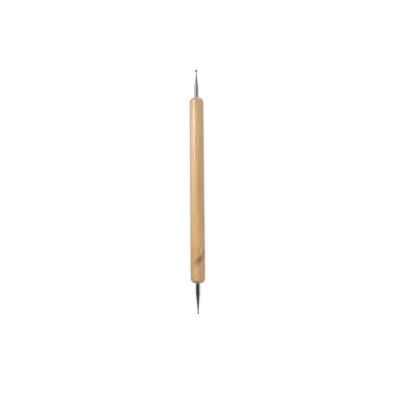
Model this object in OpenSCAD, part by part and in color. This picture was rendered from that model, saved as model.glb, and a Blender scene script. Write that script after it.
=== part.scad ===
// Double-ended ball stylus for clay modelling.
// A turned wooden handle with a steel pin glued into each end. Each pin narrows to a thin
// neck that carries a small steel ball. The tool's axis is the Y axis, the upper end is
// towards +Y, and the origin is at the middle of the handle.

/* [Handle] */
// Length of the handle's rounded outline, end to end
handle_len = 106.1; // [80:0.1:140]
// Diameter of the handle
handle_d = 8; // [7.5:0.1:12]
// Rounding of the handle's upper end
upper_round_r = 3.1; // [1:0.1:3.2]
// Rounding of the handle's lower end
lower_round_r = 2.6; // [1:0.1:3.2]

/* [Pins] */
// Diameter of the pins' root and straight shank
shank_d = 2.5; // [2:0.1:3]
// How far the upper ball's far side stands out of the handle
upper_reach = 17.3; // [15:0.1:22]
// How far the lower ball's far side stands out of the handle
lower_reach = 16.6; // [15:0.1:22]
// Bare length of the upper shank, from the handle to the end of its shoulder
upper_shank_out = 6.6; // [4:0.1:7]
// Bare length of the lower shank, from the handle to the end of its shoulder
lower_shank_out = 6.4; // [4:0.1:7]
// How much the shoulder narrows the shank before the taper, on each side
shoulder_step = 0.15; // [0.05:0.05:0.3]
// Diameter of the neck behind the upper ball
upper_neck_d = 0.58; // [0.4:0.02:0.7]
// Diameter of the neck behind the lower ball
lower_neck_d = 0.7; // [0.4:0.02:0.7]
// Straight length of the neck, from the taper to the ball
neck_len = 1.2; // [0.5:0.1:3]
// Length of the root that sits in the handle
root_len = 14; // [8:0.5:20]

/* [Balls] */
// Diameter of the upper, larger ball
upper_ball_d = 1.4; // [1.2:0.1:3]
// Diameter of the lower, smaller ball
lower_ball_d = 1; // [0.9:0.1:3]

/* [Bores and glue] */
// Gap filled with glue between the root and the bore's wall
glue_gap = 0.1; // [0.05:0.01:0.2]
// Gap filled with glue between the root's end and the end of the bore's wall
end_gap = 1; // [0.2:0.1:3]
// Width of the countersink round the bore's mouth
countersink = 0.3; // [0.1:0.05:0.4]

/* [Hidden] */
$fn = 96;

handle_r = handle_d / 2;
handle_half = handle_len / 2;
shank_r = shank_d / 2;
taper_r = shank_r - shoulder_step;
shoulder_len = 0.35;
root_chamfer = 0.4;
bore_r = shank_r + glue_gap;
bore_depth = root_len + end_gap;
drill_point_angle = 118;
drill_point_len = bore_r / tan(drill_point_angle / 2);
glue_fillet_r = glue_gap + countersink;
seat_share = 0.15;    // the neck ends this share of the ball's diameter below its middle
eps = 0.01;           // overlap of shapes that are joined or cut

WOOD = "#CFA57B";
STEEL = "#B4B2AE";
BALL_STEEL = "#969694";
GLUE = "#D9BE86";

// Everything is turned about Z and then laid along Y.
module along_axis() {
    rotate([-90, 0, 0]) children();
}

// Each tip is drawn along +Z, outwards from the handle's end at z = 0.
module upper_end() {
    along_axis() translate([0, 0, handle_half]) children();
}

module lower_end() {
    along_axis() mirror([0, 0, 1]) translate([0, 0, handle_half]) children();
}

// Half of the handle's rounded end, with the end at y = 0.
module rounded_end_outline(round_r) {
    flat_r = handle_r - round_r;
    translate([0, -round_r]) square([flat_r + eps, round_r]);
    translate([flat_r, -round_r]) intersection() {
        circle(r = round_r);
        square(round_r);
    }
}

// The drilled bore, with its drill point and the countersink at its mouth.
module bore_outline() {
    polygon([
        [0, -bore_depth - drill_point_len],
        [bore_r, -bore_depth],
        [bore_r, -countersink],
        [bore_r + countersink + eps, eps],
        [0, eps],
    ]);
}

// The handle is one turned piece with a blind bore in each end.
module handle() {
    color(WOOD) along_axis() rotate_extrude() difference() {
        union() {
            translate([0, lower_round_r - handle_half])
                square([handle_r, handle_len - lower_round_r - upper_round_r]);
            translate([0, handle_half]) rounded_end_outline(upper_round_r);
            mirror([0, 1]) translate([0, handle_half]) rounded_end_outline(lower_round_r);
        }
        translate([0, handle_half]) bore_outline();
        mirror([0, 1]) translate([0, handle_half]) bore_outline();
    }
}

// Heights above the handle's end: the ball's middle, and the end of the neck in its seat.
function ball_height(reach, ball_d) = reach - ball_d / 2;
function neck_end(reach, ball_d) = ball_height(reach, ball_d) - seat_share * ball_d;

// Half of a pin: chamfered root, shank, shoulder, taper and neck.
module pin_outline(shank_out, reach, ball_d, neck_d) {
    neck_r = neck_d / 2;
    taper_end = reach - ball_d - neck_len;
    polygon([
        [0, -root_len],
        [shank_r - root_chamfer, -root_len],
        [shank_r, -root_len + root_chamfer],
        [shank_r, shank_out - shoulder_len],
        [taper_r, shank_out],
        [neck_r, taper_end],
        [neck_r, neck_end(reach, ball_d)],
        [0, neck_end(reach, ball_d)],
    ]);
}

module pin(shank_out, reach, ball_d, neck_d) {
    color(STEEL) rotate_extrude() pin_outline(shank_out, reach, ball_d, neck_d);
}

// A ball with the blind seat that takes the end of the neck.
module ball(reach, ball_d, neck_d) {
    color(BALL_STEEL) difference() {
        translate([0, 0, ball_height(reach, ball_d)]) sphere(d = ball_d);
        cylinder(d = neck_d, h = neck_end(reach, ball_d));
    }
}

// Glue that fills the bore round the root, with a hollow fillet round the shank.
module glue(shank_out, reach, ball_d, neck_d) {
    fillet_x = shank_r + glue_fillet_r;
    color(GLUE) rotate_extrude() difference() {
        union() {
            bore_outline();
            difference() {
                square([fillet_x, glue_fillet_r]);
                translate([fillet_x, glue_fillet_r]) circle(r = glue_fillet_r);
            }
        }
        pin_outline(shank_out, reach, ball_d, neck_d);
    }
}

// The two tips' pieces, each in its place.
module upper_pin() {
    upper_end() pin(upper_shank_out, upper_reach, upper_ball_d, upper_neck_d);
}

module upper_ball() {
    upper_end() ball(upper_reach, upper_ball_d, upper_neck_d);
}

module upper_glue() {
    upper_end() glue(upper_shank_out, upper_reach, upper_ball_d, upper_neck_d);
}

module lower_pin() {
    lower_end() pin(lower_shank_out, lower_reach, lower_ball_d, lower_neck_d);
}

module lower_ball() {
    lower_end() ball(lower_reach, lower_ball_d, lower_neck_d);
}

module lower_glue() {
    lower_end() glue(lower_shank_out, lower_reach, lower_ball_d, lower_neck_d);
}

handle();
upper_pin();
upper_ball();
upper_glue();
lower_pin();
lower_ball();
lower_glue();
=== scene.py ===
"""Looks of a double-ended ball stylus: a lacquered wooden handle with two steel tips.

Everything is in metres in the row frame: the tool's axis is the Y axis, the upper end is
towards +Y, and the origin is at the middle of the handle. Materials work in millimetres.
"""

import math

import bmesh
import bpy
from mathutils import Matrix, Vector, noise


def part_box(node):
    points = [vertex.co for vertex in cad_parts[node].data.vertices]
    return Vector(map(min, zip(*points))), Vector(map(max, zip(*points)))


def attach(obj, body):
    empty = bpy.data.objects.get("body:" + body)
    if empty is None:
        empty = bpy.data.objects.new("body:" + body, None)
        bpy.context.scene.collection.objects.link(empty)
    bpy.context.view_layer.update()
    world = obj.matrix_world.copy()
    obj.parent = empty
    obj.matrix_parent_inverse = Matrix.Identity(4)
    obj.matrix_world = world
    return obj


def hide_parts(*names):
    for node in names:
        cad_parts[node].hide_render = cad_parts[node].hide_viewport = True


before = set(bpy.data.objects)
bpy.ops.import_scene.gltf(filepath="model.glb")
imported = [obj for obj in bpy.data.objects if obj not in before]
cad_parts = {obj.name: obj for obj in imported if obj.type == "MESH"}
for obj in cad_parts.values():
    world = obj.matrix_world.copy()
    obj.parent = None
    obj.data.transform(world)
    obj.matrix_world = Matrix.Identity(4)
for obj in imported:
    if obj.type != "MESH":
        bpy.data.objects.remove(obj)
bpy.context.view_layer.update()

MM = 0.001

# Bores and glue, as in the CAD
BORE_GAP = 0.1 * MM
BORE_END_GAP = 1.0 * MM
COUNTERSINK = 0.3 * MM
DRILL_POINT_ANGLE = math.radians(118)

# Rounding of the handle's two ends, as in the CAD
UPPER_ROUND = 3.1 * MM
LOWER_ROUND = 2.6 * MM

# The knot: where it lies on the upper side of the handle, and its size
KNOT_X = 1.05 * MM
KNOT_Y = -40.5 * MM
KNOT_R = 1.5 * MM
KNOT_EDGE_HEIGHT = 0.030 * MM
KNOT_DIP_DEPTH = 0.035 * MM

# Unevenness of the handle
WAVE_DEPTH = 0.004 * MM     # long sanding waves
WAVE_LENGTH = 11 * MM
FINE_DEPTH = 0.002 * MM     # fine marks of the turning
TORN_LOWER = 0.32 * MM      # torn grain on the rounded ends
TORN_UPPER = 0.12 * MM
TORN_FROM = 0.6 * MM        # the grain is torn in full this far before the handle's end

# Small shapes of the tips
EDGE_ROUNDING = 0.06 * MM   # where a pin's turned faces meet
WELD_COLLAR = 0.09 * MM
BALL_UNEVEN = 0.004 * MM
GLUE_FILLET = 0.4 * MM
GLUE_UNEVEN = 0.09 * MM
CLOSE = 0.01 * MM           # nearer than this counts as touching

HANDLE_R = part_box("handle")[1].z
AROUND = 160                # points round the handle
TIP_AROUND = 96             # points round the pins, balls and glue
WALL_RINGS = 250            # rings of points along the handle's straight part
ROUNDING_RINGS = 18
BALL_RINGS = 40
BEAD_RINGS = 10


# ---------------------------------------------------------------- sizes from the frame
def off_axis(co):
    """Distance of a point from the tool's axis."""
    return math.hypot(co.x, co.z)


def cad_points(node):
    """The corners of a CAD node's mesh."""
    return [v.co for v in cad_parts[node].data.vertices]


def cad_rings(node, sign):
    """A turned CAD node's outline, as (distance along the tool, largest radius)."""
    rings = {}
    for co in cad_points(node):
        along = round(sign * co.y / MM, 3)
        rings[along] = max(rings.get(along, 0), off_axis(co))
    return [(along * MM, radius) for along, radius in sorted(rings.items())]


class Tip:
    """One tip of the tool. Distances run outwards along the tool from its middle."""

    def __init__(self, side, sign, round_r):
        self.side = side
        self.sign = sign
        self.round_r = round_r
        wall = [sign * co.y for co in cad_points("handle") if off_axis(co) > HANDLE_R - CLOSE]
        self.wall_end = max(wall)
        self.handle_end = self.wall_end + round_r
        self.outline = cad_rings(side + "_pin", sign)
        self.root_end = self.outline[0][0]
        self.shank_r = max(radius for along, radius in self.outline)
        self.neck_end, self.neck_r = self.outline[-1]
        ball = cad_points(side + "_ball")
        self.ball_r = max(off_axis(co) for co in ball)
        self.ball_mid = max(sign * co.y for co in ball) - self.ball_r
        self.bore_r = self.shank_r + BORE_GAP

    def bore(self):
        """The bore's outline, from the drill point on the axis to the countersink's rim."""
        wall_end = self.root_end - BORE_END_GAP
        point = wall_end - self.bore_r / math.tan(DRILL_POINT_ANGLE / 2)
        rim = self.bore_r + COUNTERSINK
        return [
            (point, 0),
            (wall_end, self.bore_r),
            (self.handle_end - COUNTERSINK, self.bore_r),
            (self.rounding_at(rim), rim),
        ]

    def rounding_at(self, radius):
        """How far along the tool the handle's rounded end is, at this radius."""
        out = max(0, radius - (HANDLE_R - self.round_r))
        return self.wall_end + math.sqrt(self.round_r ** 2 - out ** 2)

    def placed(self, points):
        """Outline points with their distances turned into places on the Y axis."""
        return [(self.sign * along, radius) for along, radius in points]


UPPER = Tip("upper", 1, UPPER_ROUND)
LOWER = Tip("lower", -1, LOWER_ROUND)


# ---------------------------------------------------------------- turned meshes
def steps(first, last, count):
    """Count equal steps from first towards last, without first."""
    return [first + (last - first) * i / count for i in range(1, count + 1)]


def line(start, end, count):
    """Points of a straight piece of outline, without its start."""
    return list(zip(steps(start[0], end[0], count), steps(start[1], end[1], count)))


def arc(middle, radius, first, last, count):
    """Points of a round piece of outline. Angles are in degrees from the outward axis."""
    turns = [math.radians(a) for a in steps(first, last, count)]
    return [(middle[0] + radius * math.cos(t), middle[1] + radius * math.sin(t)) for t in turns]


def join_rings(mesh, rings, around):
    """Faces from each ring of points to the next. A ring of one point is a tip."""
    for one, two in zip(rings, rings[1:]):
        for i in range(around):
            corners = [one[i % len(one)], one[(i + 1) % len(one)],
                       two[(i + 1) % len(two)], two[i % len(two)]]
            mesh.faces.new(list(dict.fromkeys(corners)))


def add_piece(name, mesh):
    """Makes a smooth-shaded object from a finished bmesh."""
    data = bpy.data.meshes.new(name)
    mesh.to_mesh(data)
    mesh.free()
    data.shade_smooth()
    piece = bpy.data.objects.new(name, data)
    bpy.context.scene.collection.objects.link(piece)
    return piece


def turn(name, outline, around, shape=None, sharp=30):
    """A closed mesh turned about the Y axis from an outline that starts and ends on it.

    The outline's points are (y, radius). shape(y, angle, radius) returns a point's new
    radius, and angles run from +Z towards +X. Edges over sharp degrees stay sharp.
    """
    mesh = bmesh.new()
    rings = []
    for y, radius in outline:
        if radius == 0:
            rings.append([mesh.verts.new((0, y, 0))])
            continue
        ring = []
        for i in range(around):
            angle = math.tau * i / around
            r = shape(y, angle, radius) if shape else radius
            ring.append(mesh.verts.new((r * math.sin(angle), y, r * math.cos(angle))))
        rings.append(ring)
    join_rings(mesh, rings, around)
    bmesh.ops.recalc_face_normals(mesh, faces=mesh.faces)
    piece = add_piece(name, mesh)
    piece.data.set_sharp_from_angle(angle=math.radians(sharp))
    return piece


def smoothstep(low, high, value):
    """0 below low, 1 above high, and smooth between them."""
    t = min(1, max(0, (value - low) / (high - low)))
    return t * t * (3 - 2 * t)


def bell(value, width):
    """1 at zero, and fading away over the width on both sides."""
    return math.exp(-(value / width) ** 2)


# ---------------------------------------------------------------- pieces
def knot_relief(y, angle, radius):
    """The knot's raised edge and the dip inside it."""
    if math.cos(angle) < 0:
        return 0
    across = radius * math.sin(angle) - KNOT_X
    near = math.hypot(across, 0.8 * (y - KNOT_Y)) / KNOT_R
    return KNOT_EDGE_HEIGHT * bell(near - 0.9, 0.45) - KNOT_DIP_DEPTH * bell(near, 0.55)


def torn_grain(y, at):
    """Depth of the small nicks in the grain on the two rounded ends."""
    lumps = Vector((at.x * 1.3 + 7, at.y * 0.9, at.z * 1.3 + 3))
    nick = max(0, noise.noise(lumps) - 0.12)
    lower_end = smoothstep(LOWER.wall_end, LOWER.handle_end - TORN_FROM, -y)
    upper_end = smoothstep(UPPER.wall_end, UPPER.handle_end - TORN_FROM, y)
    return nick * (TORN_LOWER * lower_end + TORN_UPPER * upper_end)


def handle_surface(y, angle, radius):
    """Small unevenness of the turned handle, outside its bores."""
    if radius <= UPPER.bore_r + 1.01 * COUNTERSINK:
        return radius
    side = Vector((math.sin(angle), 0, math.cos(angle)))
    at = side * (HANDLE_R / MM) + Vector((0, y / MM, 0))
    waves = WAVE_DEPTH * noise.noise(Vector((side.x, y / WAVE_LENGTH, side.z)))
    fine = FINE_DEPTH * noise.noise(Vector((at.x * 1.6, at.y * 0.35, at.z * 1.6)))
    return radius + waves + fine + knot_relief(y, angle, radius) - torn_grain(y, at)


def make_handle():
    """The handle with its two blind bores, as one closed outline turned about the axis."""
    rounding = {}
    for tip in (UPPER, LOWER):
        flat_r = HANDLE_R - tip.round_r
        rim_r = tip.bore_r + COUNTERSINK
        first = math.degrees(math.asin(max(0, rim_r - flat_r) / tip.round_r))
        middle = (tip.wall_end, flat_r)
        rounding[tip.side] = arc(middle, tip.round_r, first, 90, ROUNDING_RINGS)
    outline = UPPER.bore() + rounding["upper"]
    outline += line((UPPER.wall_end, HANDLE_R), (-LOWER.wall_end, HANDLE_R), WALL_RINGS)
    lower_half = LOWER.bore() + rounding["lower"][:-1]
    outline += [(-along, radius) for along, radius in reversed(lower_half)]
    return turn("wood_handle", outline, AROUND, handle_surface)


def pin_profile(tip):
    """The pin's outline with small roundings where the turned faces meet."""
    corners = tip.outline
    points = [(tip.root_end, 0), corners[0]]
    for before, corner, after in zip(corners, corners[1:], corners[2:]):
        for other in (before, after):
            gap = Vector(other) - Vector(corner)
            gap *= min(0.4, EDGE_ROUNDING / gap.length)
            points.append((corner[0] + gap.x, corner[1] + gap.y))
    points += [corners[-1], (tip.neck_end, 0)]
    return points


def make_pin(tip):
    """The pin, from its root in the bore to the end of its neck."""
    points = pin_profile(tip)
    return turn(tip.side + "_steel_pin", tip.placed(points), TIP_AROUND)


def make_ball(tip):
    """The ball with the seat for its neck and a small collar of weld round the neck."""
    collar_end = math.sqrt(tip.ball_r ** 2 - (tip.neck_r + WELD_COLLAR) ** 2)
    start = math.degrees(math.acos(-collar_end / tip.ball_r))
    foot = tip.ball_mid - math.sqrt(tip.ball_r ** 2 - tip.neck_r ** 2)
    points = [(tip.neck_end, 0), (tip.neck_end, tip.neck_r)]
    points += line(points[-1], (foot - 1.2 * WELD_COLLAR, tip.neck_r), 3)
    points.append((foot - 0.6 * WELD_COLLAR, tip.neck_r + 0.22 * WELD_COLLAR))
    points.append((foot - 0.1 * WELD_COLLAR, tip.neck_r + 0.55 * WELD_COLLAR))
    points += arc((tip.ball_mid, 0), tip.ball_r, start + 0.01, 0, BALL_RINGS)
    points[-1] = (points[-1][0], 0)

    def shape(y, angle, radius):
        """The ball is a hair out of round, but not near the axis."""
        spot = Vector((radius * math.sin(angle), y, radius * math.cos(angle))) / MM
        uneven = noise.noise(spot * 2.5) * smoothstep(0, 0.3 * tip.ball_r, radius)
        return radius + BALL_UNEVEN * uneven

    return turn(tip.side + "_steel_ball", tip.placed(points), TIP_AROUND, shape)


def make_glue(tip):
    """The glue round the root, as a cup with an uneven bead at the handle's end."""
    bore = tip.bore()
    bead_top = tip.handle_end + GLUE_FILLET
    points = [(tip.root_end, 0), tip.outline[0]]
    points += [p for p in tip.outline[1:] if p[1] > tip.shank_r - CLOSE and p[0] < tip.handle_end]
    points.append((bead_top, tip.shank_r))
    centre = (bead_top, tip.shank_r + GLUE_FILLET)
    points += arc(centre, GLUE_FILLET, -90, -180, BEAD_RINGS)[:-1]
    points += reversed(bore)

    def shape(y, angle, radius):
        """The bead is a little wider on some sides than on others."""
        outside = tip.sign * y > tip.handle_end + CLOSE
        if not outside or radius < tip.shank_r + 2 * CLOSE:
            return radius
        uneven = noise.noise(Vector((2 * math.sin(angle), 2 * math.cos(angle), tip.sign)))
        out = smoothstep(0, GLUE_FILLET / 2, radius - tip.shank_r)
        return radius + GLUE_UNEVEN * uneven * out

    return turn(tip.side + "_glue_bead", tip.placed(points), TIP_AROUND, shape)


# ---------------------------------------------------------------- material helpers
class Shader:
    """A node material, with short names for the nodes that the materials use."""

    def __init__(self, name, **fixed):
        self.material = bpy.data.materials.new(name)
        self.material.use_nodes = True
        self.nodes = self.material.node_tree.nodes
        self.links = self.material.node_tree.links
        self.surface = next(n for n in self.nodes if n.type == "BSDF_PRINCIPLED")
        for socket, value in fixed.items():
            self.surface.inputs[socket.replace("_", " ")].default_value = value
        coordinates = self.nodes.new("ShaderNodeTexCoord").outputs["Object"]
        self.place = self.vector("SCALE", coordinates, scale=1 / MM)
        split = self.nodes.new("ShaderNodeSeparateXYZ")
        self.links.new(self.place, split.inputs[0])
        self.x, self.y, self.z = split.outputs

    def feed(self, socket, value):
        """Links an output to a socket, or sets the socket to a plain value."""
        if hasattr(value, "is_linked"):
            self.links.new(value, socket)
        else:
            socket.default_value = value

    def vector(self, operation, *values, scale=None):
        node = self.nodes.new("ShaderNodeVectorMath")
        node.operation = operation
        for socket, value in zip(node.inputs, values):
            self.feed(socket, value)
        if scale is not None:
            node.inputs["Scale"].default_value = scale
        return node.outputs["Vector"]

    def math(self, operation, *values):
        node = self.nodes.new("ShaderNodeMath")
        node.operation = operation
        for socket, value in zip(node.inputs, values):
            self.feed(socket, value)
        return node.outputs[0]

    def add(self, a, b):
        return self.math("ADD", a, b)

    def times(self, a, b):
        return self.math("MULTIPLY", a, b)

    def joined(self, x, y, z):
        node = self.nodes.new("ShaderNodeCombineXYZ")
        for socket, value in zip(node.inputs, (x, y, z)):
            self.feed(socket, value)
        return node.outputs[0]

    def noise(self, vector, scale=1.0, detail=3.0, rough=0.5):
        node = self.nodes.new("ShaderNodeTexNoise")
        self.links.new(vector, node.inputs["Vector"])
        node.inputs["Scale"].default_value = scale
        node.inputs["Detail"].default_value = detail
        node.inputs["Roughness"].default_value = rough
        return node.outputs["Fac"]

    def streaks(self, across, per_mm_across, per_mm_along, detail):
        """Noise with its own scales across and along the tool: streaks, or turned rings."""
        x = self.times(across, per_mm_across)
        y = self.times(self.y, per_mm_along)
        z = self.times(self.z, per_mm_across)
        return self.noise(self.joined(x, y, z), detail=detail)

    def ranged(self, value, low, high, to_low=0.0, to_high=1.0):
        """Value from low to high, smoothly to to_low and to_high."""
        node = self.nodes.new("ShaderNodeMapRange")
        node.interpolation_type = "SMOOTHSTEP"
        for socket, number in zip(node.inputs, (value, low, high, to_low, to_high)):
            self.feed(socket, number)
        return node.outputs[0]

    def upper_side(self):
        """1 on the side away from the floor, and 0 on the side towards it."""
        return self.ranged(self.z, -0.5, 1.2)

    def mix(self, share, one, two):
        node = self.nodes.new("ShaderNodeMix")
        node.data_type = "RGBA"
        colours = [s for s in node.inputs if s.type == "RGBA"]
        self.feed(node.inputs[0], share)
        self.feed(colours[0], (*one, 1) if isinstance(one, tuple) else one)
        self.feed(colours[1], (*two, 1) if isinstance(two, tuple) else two)
        return next(s for s in node.outputs if s.type == "RGBA")

    def spot(self, x, y, across, along, lean=0.0):
        """1 at a place on the upper side, fading out over an oval. Lengths are in mm."""
        cos, sin = math.cos(math.radians(lean)), math.sin(math.radians(lean))
        dx, dy = self.add(self.x, -x), self.add(self.y, -y)
        a = self.times(self.add(self.times(dx, cos), self.times(dy, -sin)), 1 / across)
        b = self.times(self.add(self.times(dx, sin), self.times(dy, cos)), 1 / along)
        squares = self.add(self.times(a, a), self.times(b, b))
        oval = self.math("EXPONENT", self.times(squares, -1.0))
        return self.times(oval, self.upper_side())

    def patched(self, colour, patches):
        """Lays patches of colour over another, each (tone, share, *the spot's values)."""
        for tone, share, *place in patches:
            colour = self.mix(self.times(self.spot(*place), share), colour, tone)
        return colour

    def bump(self, height, depth_mm, strength=1.0):
        node = self.nodes.new("ShaderNodeBump")
        node.inputs["Strength"].default_value = strength
        node.inputs["Distance"].default_value = depth_mm * MM
        self.links.new(height, node.inputs["Height"])
        self.links.new(node.outputs["Normal"], self.surface.inputs["Normal"])

    def finish(self, colour, rough):
        self.links.new(colour, self.surface.inputs["Base Color"])
        self.links.new(rough, self.surface.inputs["Roughness"])
        return self.material


# ---------------------------------------------------------------- materials
WOOD_LIGHT = (0.520, 0.348, 0.165)
WOOD_MID = (0.450, 0.265, 0.112)
WOOD_WARM = (0.415, 0.210, 0.080)
WOOD_DARK = (0.285, 0.157, 0.069)
# pale wood; in the strips along the left flank it is a painted sheen
PALE_WOOD_AND_PAINTED_SHEEN = (0.555, 0.395, 0.235)
WOOD_PINK = (0.530, 0.312, 0.165)
# painted shade: a darker, greyer wood colour for strips along the flanks
PAINTED_SHADE_WOOD = (0.360, 0.225, 0.110)
KNOT_BROWN = (0.225, 0.115, 0.048)
END_TONE = (0.450, 0.330, 0.222)
END_DARK = (0.275, 0.195, 0.128)
END_PALE = (0.600, 0.455, 0.318)
PIN_LIGHT = (0.545, 0.520, 0.502)
PIN_DARK = (0.435, 0.412, 0.396)
BALL_LIGHT = (0.440, 0.430, 0.420)
BALL_DARK = (0.340, 0.330, 0.320)
GLUE_LIGHT = (0.420, 0.310, 0.200)
GLUE_DARK = (0.300, 0.215, 0.135)

PITH_X = -13.0              # where the tree's middle would be, in mm from the tool's axis
PITH_Z = -8.0
RING_WIDTH = 1.15           # mm from one growth ring to the next
RING_WANDER = 1.8           # mm by which the rings are out of round

# Long soft streaks of the wood, strips of painted shade along the flanks, strips of painted sheen
# along the left flank, and the knot, as (colour, share, x, y, across, along, lean): the middle and
# the half widths are in mm, and the lean is in degrees. Chosen one by one.
WOOD_PATCHES = [
    (WOOD_WARM, 0.45, 1.3, 3.0, 0.9, 24.0, 0),
    (PALE_WOOD_AND_PAINTED_SHEEN, 0.30, 1.4, 36.0, 3.4, 22.0, 0),
    # painted sheen along the left flank, in the upper and the lower half
    (PALE_WOOD_AND_PAINTED_SHEEN, 0.60, -3.7, 26.0, 1.0, 30.0, 0),
    (PALE_WOOD_AND_PAINTED_SHEEN, 0.75, -3.7, -18.0, 1.0, 20.0, 0),
    (WOOD_MID, 0.30, -0.8, 4.0, 1.7, 20.0, 0),
    (WOOD_LIGHT, 0.55, -2.4, -18.0, 2.1, 22.0, 0),
    (WOOD_LIGHT, 0.65, -2.4, -29.0, 1.5, 6.0, 0),
    (WOOD_LIGHT, 0.65, -2.5, -48.5, 1.2, 3.5, 0),
    # painted shade along the right flank
    (PAINTED_SHADE_WOOD, 0.60, 3.5, 0.0, 1.5, 90.0, 0),
    (WOOD_PINK, 0.60, 0.0, -30.5, 2.9, 6.0, 0),
    (WOOD_WARM, 0.65, 0.2, -36.6, 2.2, 3.4, 10),
    (WOOD_PINK, 0.60, -2.2, -41.5, 1.7, 5.0, 0),
    # painted shade on the left flank near the lower end
    (PAINTED_SHADE_WOOD, 0.55, -3.8, -45.0, 0.6, 9.0, 0),
    (PALE_WOOD_AND_PAINTED_SHEEN, 0.12, -0.9, -46.0, 1.8, 2.4, 0),
    (WOOD_WARM, 0.38, 0.3, -48.8, 2.0, 3.4, 0),
    (KNOT_BROWN, 1.10, 1.05, -40.6, 1.55, 3.1, 44),
    (KNOT_BROWN, 0.40, -0.1, -43.1, 1.6, 1.9, 30),
    (WOOD_PINK, 0.45, 3.3, -41.4, 0.8, 1.8, 0),
    (WOOD_PINK, 0.40, 0.0, -38.8, 0.45, 1.9, 60),
    (PALE_WOOD_AND_PAINTED_SHEEN, 0.75, 2.1, -36.0, 0.5, 2.1, 16),
    (KNOT_BROWN, 0.80, 3.2, -36.6, 0.6, 2.0, 0),
]

# Spots of the end grain on the rounded ends, in the same form
END_PATCHES = [
    (END_DARK, 0.90, -3.4, 51.0, 0.8, 1.7, 30),
    (END_DARK, 0.90, 3.2, 51.1, 0.8, 1.7, -30),
    (END_DARK, 0.85, 1.1, 52.2, 0.8, 0.35, 35),
    (END_DARK, 0.55, -0.5, 50.6, 1.3, 0.5, 0),
    (END_PALE, 0.85, 0.0, 52.7, 0.6, 0.5, 0),
    (END_PALE, 0.80, 1.4, 51.3, 0.6, 0.45, 0),
    (END_PALE, 0.85, -3.1, -51.8, 0.5, 0.4, 0),
    (END_PALE, 1.00, -0.9, -51.7, 1.0, 0.4, 0),
    (END_PALE, 0.95, 1.0, -52.4, 0.5, 0.4, 0),
    (END_DARK, 0.75, -2.0, -52.5, 1.1, 0.4, -15),
    (END_DARK, 0.80, 0.0, -52.4, 0.4, 0.5, 0),
    (END_DARK, 0.60, 2.2, -52.5, 0.8, 0.4, 15),
]


def flow_round_knot(s):
    """Distance across the wood. The fibres bend round the knot, as a stream does."""
    knot_area = (KNOT_R / MM) ** 2
    dx = s.add(s.x, -KNOT_X / MM)
    dy = s.add(s.y, -KNOT_Y / MM)
    far = s.add(s.times(dx, dx), s.times(s.times(dy, dy), 0.3))
    far = s.add(far, 0.5 * knot_area)
    bend = s.times(s.math("DIVIDE", knot_area, far), s.upper_side())
    return s.add(s.x, s.times(s.times(dx, bend), -1.0))


def growth_rings(s, across):
    """The dark late wood at the end of each growth ring, from 0 to 1."""
    wander = s.times(s.streaks(s.x, 0.12, 0.03, detail=2.0), RING_WANDER)
    out_x = s.add(across, -PITH_X)
    out_z = s.add(s.z, -PITH_Z)
    out = s.math("SQRT", s.add(s.times(out_x, out_x), s.times(out_z, out_z)))
    ring = s.math("FRACT", s.times(s.add(out, wander), 1 / RING_WIDTH))
    return s.times(s.ranged(ring, 0.45, 0.92), s.ranged(ring, 1.0, 0.93))


def end_grain(s, colour):
    """Lays end grain over the rounded ends, where the lacquer dries greyer and in spots."""
    upper_wall = UPPER.wall_end / MM
    lower_wall = -LOWER.wall_end / MM
    upper_end = s.ranged(s.y, upper_wall - 0.6, upper_wall + 0.4)
    lower_end = s.ranged(s.y, lower_wall - 0.7, lower_wall - 1.4)
    ends = s.add(upper_end, lower_end)
    speckle = s.noise(s.place, scale=0.95, detail=4.0, rough=0.75)
    colour = s.mix(s.times(ends, 0.55), colour, END_TONE)
    colour = s.mix(s.times(ends, s.ranged(speckle, 0.51, 0.60)), colour, END_DARK)
    colour = s.mix(s.times(ends, s.ranged(speckle, 0.49, 0.40)), colour, END_PALE)
    return s.patched(colour, END_PATCHES)


def wood_material():
    """Pale straight-grained wood under a clear lacquer."""
    s = Shader("lacquered_wood", Coat_Weight=1.0, Coat_Roughness=0.21, Coat_IOR=1.5,
               Specular_IOR_Level=0.2)
    across = flow_round_knot(s)
    broad = s.streaks(across, 0.55, 0.045, detail=2.0)
    fibre = s.streaks(across, 3.2, 0.09, detail=4.0)
    fleck = s.streaks(across, 9.0, 0.7, detail=1.0)
    pores = s.streaks(across, 16.0, 1.1, detail=0.0)
    latewood = growth_rings(s, across)

    colour = s.mix(s.ranged(broad, 0.36, 0.66), WOOD_LIGHT, WOOD_MID)
    colour = s.mix(s.times(s.ranged(fibre, 0.42, 0.78), 0.6), colour, WOOD_WARM)
    colour = s.mix(s.times(latewood, 0.22), colour, WOOD_WARM)
    colour = s.mix(s.times(s.ranged(fleck, 0.66, 0.76), 0.35), colour, WOOD_DARK)
    colour = s.mix(s.times(s.ranged(pores, 0.70, 0.80), 0.30), colour, WOOD_DARK)
    colour = s.patched(colour, WOOD_PATCHES)
    colour = end_grain(s, colour)

    rough = s.ranged(fibre, 0.3, 0.8, 0.38, 0.50)
    grain = s.add(s.times(fibre, 0.6), s.times(s.ranged(pores, 0.62, 0.80), -0.5))
    s.bump(grain, 0.02, strength=0.15)
    return s.finish(colour, rough)


def steel_material(name, light, dark, rough_range, mark_pitch, mark_depth):
    """Turned steel: fine rings round the tool's axis, with a few scratches along it.

    The marks' pitch and depth are in mm.
    """
    s = Shader(name, Metallic=1.0)
    rings = s.streaks(s.x, 0.4, 1 / mark_pitch, detail=3.0)
    scratches = s.streaks(s.x, 8.0, 0.5, detail=2.0)
    smear = s.noise(s.place, scale=0.7, detail=3.0)
    colour = s.mix(s.ranged(rings, 0.35, 0.68), light, dark)
    colour = s.mix(s.times(s.ranged(smear, 0.55, 0.75), 0.35), colour, dark)
    rough = s.ranged(rings, 0.3, 0.7, *rough_range)
    rough = s.add(rough, s.ranged(scratches, 0.62, 0.72, 0.0, 0.06))
    s.bump(rings, mark_depth, strength=0.5)
    return s.finish(colour, rough)


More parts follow.
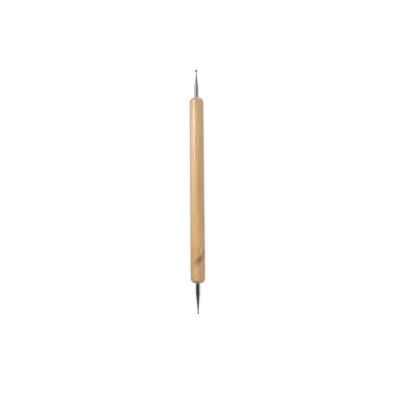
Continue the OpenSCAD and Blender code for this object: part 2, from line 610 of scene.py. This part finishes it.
def glue_material():
    """Dried wood glue, clouded and a little see-through."""
    s = Shader("glue", Coat_Weight=0.4, Coat_Roughness=0.08, Subsurface_Weight=0.15)
    s.surface.inputs["Subsurface Radius"].default_value = (0.4 * MM, 0.25 * MM, 0.12 * MM)
    cloud = s.noise(s.place, scale=2.2, detail=3.0)
    colour = s.mix(s.ranged(cloud, 0.35, 0.65), GLUE_LIGHT, GLUE_DARK)
    s.bump(cloud, 0.02, strength=0.4)
    return s.finish(colour, s.ranged(cloud, 0.3, 0.7, 0.22, 0.36))


def dress(piece, node, material):
    """Puts a finished piece in place of its CAD node."""
    piece.data.materials.append(material)
    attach(piece, "root")
    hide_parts(node)


# ---------------------------------------------------------------- studio
FLOOR_R = 1.1               # flat part of the floor, before it curves up
COVE_R = 0.55
FLOOR_RINGS = (0.3, 0.7)    # these keep the shading of the flat part even
FLOOR_AROUND = 96
FLOOR_COLOUR = (0.22, 0.22, 0.22)
FLOOR_GLOW = 0.79

# How bright the world is above the horizon, and below it to the right and to the left
WORLD_ABOVE = 0.08
WORLD_BELOW = 1.02
WORLD_BELOW_LEFT = 0.40
WORLD_RIGHT = (0.6, 1.0, 0.0)   # from the darker side of the lower half to its lighter side


def stage_material():
    """Opal white that glows evenly, like a light table."""
    material = bpy.data.materials.new("floor")
    material.use_nodes = True
    surface = next(n for n in material.node_tree.nodes if n.type == "BSDF_PRINCIPLED")
    surface.inputs["Base Color"].default_value = (*FLOOR_COLOUR, 1)
    surface.inputs["Roughness"].default_value = 0.9
    surface.inputs["Specular IOR Level"].default_value = 0.1
    surface.inputs["Emission Color"].default_value = (1, 1, 1, 1)
    surface.inputs["Emission Strength"].default_value = FLOOR_GLOW
    return material


def make_floor():
    """A round pale floor that curves up at its edge, with the tool lying on it.

    The tool neither mirrors the floor nor is lit by it, or the tips would vanish against
    it. It mirrors the lower half of the world instead, and is lit by that from below.
    """
    mesh = bmesh.new()
    outline = [(0, 0)] + [(radius, 0) for radius in FLOOR_RINGS]
    for degrees in range(0, 91, 6):
        t = math.radians(degrees)
        outline.append((FLOOR_R + COVE_R * math.sin(t), COVE_R * (1 - math.cos(t))))
    rings = []
    for radius, height in outline:
        ring = []
        for i in range(FLOOR_AROUND if radius else 1):
            t = math.tau * i / FLOOR_AROUND
            ring.append(mesh.verts.new((radius * math.cos(t), radius * math.sin(t), height - HANDLE_R)))
        rings.append(ring)
    join_rings(mesh, rings[::-1], FLOOR_AROUND)
    floor = add_piece("floor", mesh)
    floor.data.materials.append(stage_material())
    floor.visible_glossy = False
    floor.visible_diffuse = False


def make_light(name, place, size, radiance, colour=(1, 1, 1), mirrored=True):
    """A softbox that faces the tool. Radiance is what a mirror at the tool would show.

    Without mirrored, the tool is lit by the softbox and doesn't mirror it.
    """
    light = bpy.data.lights.new(name, "AREA")
    light.shape = "RECTANGLE"
    light.size, light.size_y = size
    light.energy = radiance * size[0] * size[1] * math.pi
    light.color = colour
    lamp = bpy.data.objects.new(name, light)
    lamp.location = place
    lamp.rotation_euler = (-Vector(place)).to_track_quat("-Z", "Y").to_euler()
    lamp.visible_glossy = mirrored
    bpy.context.scene.collection.objects.link(lamp)
    return lamp


CAMERA_AWAY = 0.3494        # from the handle's middle
CAMERA_TILT = math.radians(11.9)
CAMERA_ROLL = math.radians(0.54)
CAMERA_LENS = 56.3
CAMERA_ACROSS = 1.50 * MM   # how far the view's middle lies right of and below the tool's
CAMERA_BELOW = 6.98 * MM


def make_camera():
    """The view from above, leaning towards the tool's lower end."""
    data = bpy.data.cameras.new("camera")
    data.lens = CAMERA_LENS
    data.sensor_width = 36
    data.clip_start = 0.01
    camera = bpy.data.objects.new("camera", data)
    tilted = Matrix.Rotation(CAMERA_TILT, 4, "X")
    rolled = tilted @ Matrix.Rotation(-CAMERA_ROLL, 4, "Z")
    offset = Vector((CAMERA_ACROSS, -CAMERA_BELOW, CAMERA_AWAY))
    camera.matrix_world = Matrix.Translation(tilted @ offset) @ rolled
    bpy.context.scene.collection.objects.link(camera)
    bpy.context.scene.camera = camera


def map_range(tree, value, **ends):
    """A Map Range node on value. Ends are From_Min, From_Max, To_Min and To_Max."""
    node = tree.nodes.new("ShaderNodeMapRange")
    tree.links.new(value, node.inputs["Value"])
    for name, end in ends.items():
        node.inputs[name.replace("_", " ")].default_value = end
    return node


def make_world():
    """Dark above the horizon and light below it, but dimmer at the lower left.

    This is what the steel mirrors, and the light that the tool gets from below.
    """
    world = bpy.data.worlds.new("studio")
    world.use_nodes = True
    tree = world.node_tree
    where = tree.nodes.new("ShaderNodeTexCoord").outputs["Generated"]
    split = tree.nodes.new("ShaderNodeSeparateXYZ")
    tree.links.new(where, split.inputs[0])
    aside = tree.nodes.new("ShaderNodeVectorMath")
    aside.operation = "DOT_PRODUCT"
    aside.inputs[1].default_value = WORLD_RIGHT
    tree.links.new(where, aside.inputs[0])
    below = map_range(tree, aside.outputs["Value"], From_Min=-0.45, From_Max=0.10,
                      To_Min=WORLD_BELOW_LEFT, To_Max=WORLD_BELOW)
    level = map_range(tree, split.outputs["Z"], From_Min=-0.1, From_Max=0.05, To_Max=WORLD_ABOVE)
    tree.links.new(below.outputs[0], level.inputs["To Min"])
    sky = next(n for n in tree.nodes if n.type == "BACKGROUND")
    sky.inputs["Color"].default_value = (1, 1, 1, 1)
    tree.links.new(level.outputs[0], sky.inputs["Strength"])
    bpy.context.scene.world = world


def only_on(lamp, piece):
    """Lets a lamp light one piece only, as a flag beside the lamp would."""
    receivers = bpy.data.collections.new(lamp.name + "_receivers")
    receivers.objects.link(piece)
    lamp.light_linking.receiver_collection = receivers


def make_studio(wood):
    """The world and the softboxes. The key light is on the wood only, or the steel mirrors it."""
    make_world()
    bpy.context.scene.view_settings.view_transform = "Standard"
    make_light("overhead", (0, -0.24, 0.97), (1.3, 1.3), 2.42, mirrored=False)
    key = make_light("key", (-0.490, 0.274, 0.542), (0.105, 0.37), 15.2, (1, 0.99, 0.97))
    only_on(key, wood)
    make_light("side", (-0.66, 0.225, 0.12), (0.15, 0.40), 4.5)
    make_light("rim", (-0.60, 0.52, 0.42), (0.34, 0.60), 1.65)
    make_light("back", (0.25, 0.50, 0.80), (1.1, 0.5), 0.28)
    make_light("backdrop", (0, 0.95, 0.20), (1.3, 0.42), 1.8)
    make_light("fill", (0.66, 0.05, 0.18), (0.80, 0.34), 1.05)


# ---------------------------------------------------------------- putting it together
handle = make_handle()
make_floor()
make_studio(handle)
make_camera()

dress(handle, "handle", wood_material())
pin_steel = steel_material("turned_steel", PIN_LIGHT, PIN_DARK, (0.16, 0.24), 0.07, 0.004)
ball_steel = steel_material("ball_steel", BALL_LIGHT, BALL_DARK, (0.20, 0.28), 0.20, 0.002)
glue = glue_material()
for tip in (UPPER, LOWER):
    dress(make_pin(tip), tip.side + "_pin", pin_steel)
    dress(make_ball(tip), tip.side + "_ball", ball_steel)
    dress(make_glue(tip), tip.side + "_glue", glue)
